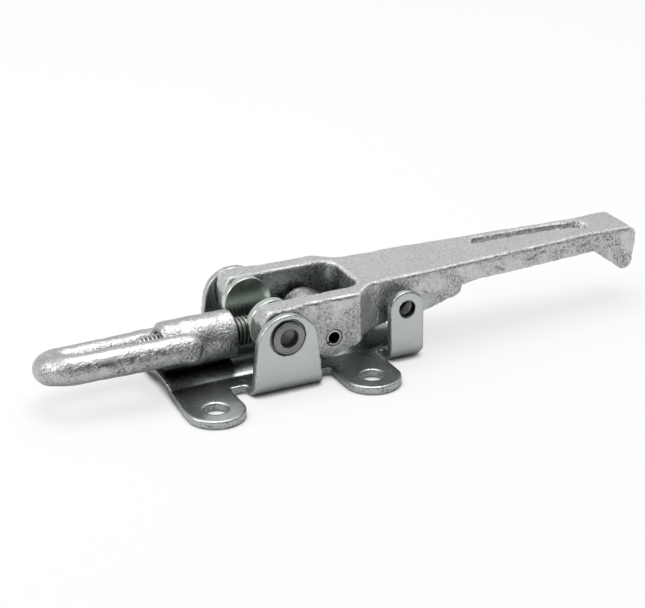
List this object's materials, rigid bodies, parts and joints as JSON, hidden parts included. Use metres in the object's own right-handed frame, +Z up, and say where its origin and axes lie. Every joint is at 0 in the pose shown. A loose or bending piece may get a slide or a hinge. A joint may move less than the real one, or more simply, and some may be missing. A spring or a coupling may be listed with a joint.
{
  "type": "over-centre toggle latch",
  "caption": "Over-centre toggle latch: bent sheet base with ears and mounting lugs, forged fork lever, threaded draw rod and loop link, closed.",
  "frame": {"origin": "middle of the four mounting holes, on the base plate's underside", "axes": "+X along the latch towards the handle's tip, +Y across it, +Z up away from the mounting surface"},
  "size_m": [0.3089, 0.1088, 0.0392],
  "materials": {
    "plated_sheet": "zinc plated, satin",
    "plated_forging": "zinc plated over a forged skin",
    "plated_rivet": "zinc plated, smooth",
    "plated_pin": "zinc plated",
    "plated_rod": "zinc plated, threaded",
    "plated_link": "zinc plated over a forged skin"
  },
  "bodies": {
    "base": {"base_plate": "plated_sheet"},
    "lever": {"lever": "plated_forging", "pivot_rivet_left": "plated_rivet", "pivot_rivet_right": "plated_rivet", "spring_pin": "plated_pin"},
    "rod": {"draw_rod": "plated_rod"},
    "link": {"link": "plated_link"}
  },
  "joints": [
    {"name": "lever_pivot", "type": "hinge", "parent": "base", "child": "lever", "pos_m": [0.0005, 0, 0.0274], "axis": [0, -1, 0], "range_deg": [0, 100]},
    {"name": "rod_swing", "type": "hinge", "parent": "lever", "child": "rod", "pos_m": [0.0268, 0, 0.0191], "axis": [0, -1, 0], "range_deg": [-100, 0]},
    {"name": "link_reach", "type": "slide", "parent": "rod", "child": "link", "axis": [-1, 0, 0], "range_m": [-0.01, 0.02]}
  ],
  "couplings": [
    {"joint": "rod_swing", "follows": "lever_pivot", "ratio": -1}
  ]
}
